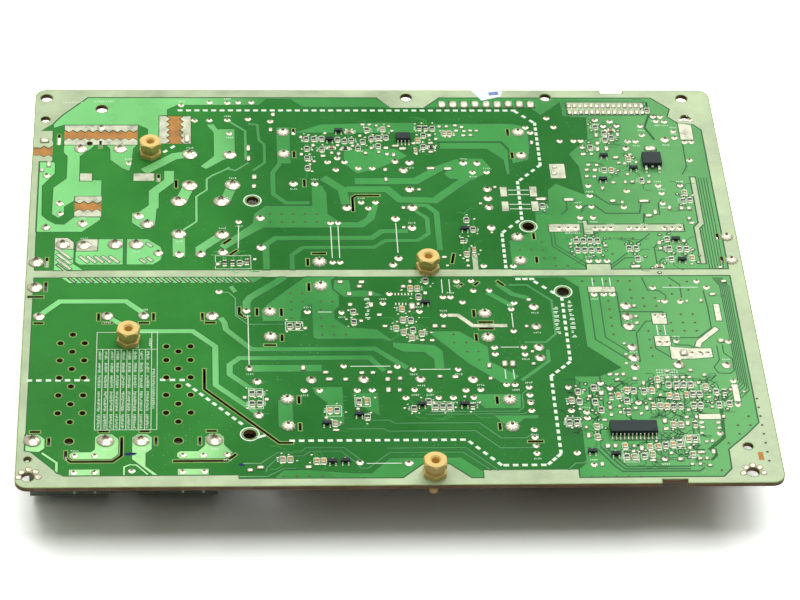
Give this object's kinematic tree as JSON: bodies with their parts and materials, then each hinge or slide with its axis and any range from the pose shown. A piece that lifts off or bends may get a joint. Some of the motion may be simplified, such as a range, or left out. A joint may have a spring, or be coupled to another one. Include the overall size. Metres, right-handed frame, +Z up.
{
  "type": "power supply board",
  "caption": "Flat power supply circuit board, solder side up, resting on its transformers, capacitors and folded heatsinks, with tan moulded hex spacers standing on the board.",
  "frame": {"origin": "centre of the board's outline, on the surface the part rests on", "axes": "+X along the long side of the board, +Y from the near edge to the far edge, +Z up out of the solder side"},
  "size_m": [0.24, 0.1986, 0.032],
  "materials": {
    "laminate": "brown paper-and-resin laminate, sawn edge",
    "solder_mask": "green solder mask over bare laminate",
    "masked_copper": "green solder mask over copper, lighter",
    "tinned_copper": "bare tinned copper, satin",
    "solder_joints": "bright solder cones",
    "lobed_joints": "bright lobed solder",
    "lead_tips": "cut lead ends",
    "solder_mounds": "bright solder on bare lands",
    "chip_resistors": "black glazed chips",
    "ceramic_chips": "tan ceramic chips",
    "coated_chips": "orange coated chips",
    "chip_ends": "tinned end caps",
    "transistor_bodies": "black moulding",
    "controller_body": "black moulding",
    "driver_body": "black moulding",
    "package_leads": "tinned legs",
    "power_body": "black moulding",
    "power_tab": "tinned tab and legs",
    "isolation_line": "white print",
    "board_print": "white print",
    "sticker": "white paper slip",
    "spacer_far": "tan moulded nylon, matt",
    "spacer_middle": "tan moulded nylon, matt",
    "spacer_left": "tan moulded nylon, matt",
    "spacer_near": "tan moulded nylon, matt",
    "spacer_nuts": "tan moulded nuts",
    "pfc_heatsink": "plain folded sheet",
    "bridge_heatsink": "plain folded sheet",
    "standby_heatsink": "plain folded sheet",
    "inverter_heatsink": "plain folded sheet",
    "rectifier_heatsink": "plain folded sheet",
    "device_bodies": "black moulding",
    "device_tabs": "plated tab",
    "device_leads": "tinned legs",
    "main_core": "grey-black ferrite",
    "standby_core": "grey-black ferrite",
    "drive_cores": "grey-black ferrite",
    "lamp_cores": "grey-black ferrite",
    "transformer_windings": "yellow tape over the winding",
    "transformer_bobbins": "black moulded bobbin",
    "filter_bases": "black moulded base",
    "filter_cores": "grey-black ferrite",
    "filter_windings": "varnished copper wire",
    "boost_core": "grey-black ferrite",
    "boost_winding": "yellow tape over the winding",
    "film_capacitors": "pale grey moulded box",
    "bridge_rectifier": "black moulding with bare legs",
    "opto_couplers": "black moulding",
    "bulk_capacitors": "dark sleeve",
    "small_capacitors": "dark sleeve",
    "disc_parts": "blue dipped disc with bare legs",
    "fuse_tube": "clear glass tube",
    "fuse_clips": "plated caps and clips",
    "mains_connector": "ivory moulding with tinned pins",
    "output_connector": "ivory moulding with tinned pins",
    "signal_connector": "ivory moulding with tinned pins",
    "lamp_connectors": "ivory moulding with tinned pins",
    "wire_links": "tinned wire"
  },
  "bodies": {
    "root": {"laminate": "laminate", "solder_mask": "solder_mask", "masked_copper": "masked_copper", "tinned_copper": "tinned_copper", "solder_joints": "solder_joints", "lobed_joints": "lobed_joints", "lead_tips": "lead_tips", "solder_mounds": "solder_mounds", "chip_resistors": "chip_resistors", "ceramic_chips": "ceramic_chips", "coated_chips": "coated_chips", "chip_ends": "chip_ends", "transistor_bodies": "transistor_bodies", "controller_body": "controller_body", "driver_body": "driver_body", "package_leads": "package_leads", "power_body": "power_body", "power_tab": "power_tab", "isolation_line": "isolation_line", "board_print": "board_print", "sticker": "sticker", "spacer_far": "spacer_far", "spacer_middle": "spacer_middle", "spacer_left": "spacer_left", "spacer_near": "spacer_near", "spacer_nuts": "spacer_nuts", "pfc_heatsink": "pfc_heatsink", "bridge_heatsink": "bridge_heatsink", "standby_heatsink": "standby_heatsink", "inverter_heatsink": "inverter_heatsink", "rectifier_heatsink": "rectifier_heatsink", "device_bodies": "device_bodies", "device_tabs": "device_tabs", "device_leads": "device_leads", "main_core": "main_core", "standby_core": "standby_core", "drive_cores": "drive_cores", "lamp_cores": "lamp_cores", "transformer_windings": "transformer_windings", "transformer_bobbins": "transformer_bobbins", "filter_bases": "filter_bases", "filter_cores": "filter_cores", "filter_windings": "filter_windings", "boost_core": "boost_core", "boost_winding": "boost_winding", "film_capacitors": "film_capacitors", "bridge_rectifier": "bridge_rectifier", "opto_couplers": "opto_couplers", "bulk_capacitors": "bulk_capacitors", "small_capacitors": "small_capacitors", "disc_parts": "disc_parts", "fuse_tube": "fuse_tube", "fuse_clips": "fuse_clips", "mains_connector": "mains_connector", "output_connector": "output_connector", "signal_connector": "signal_connector", "lamp_connectors": "lamp_connectors", "wire_links": "wire_links"}
  },
  "joints": []
}
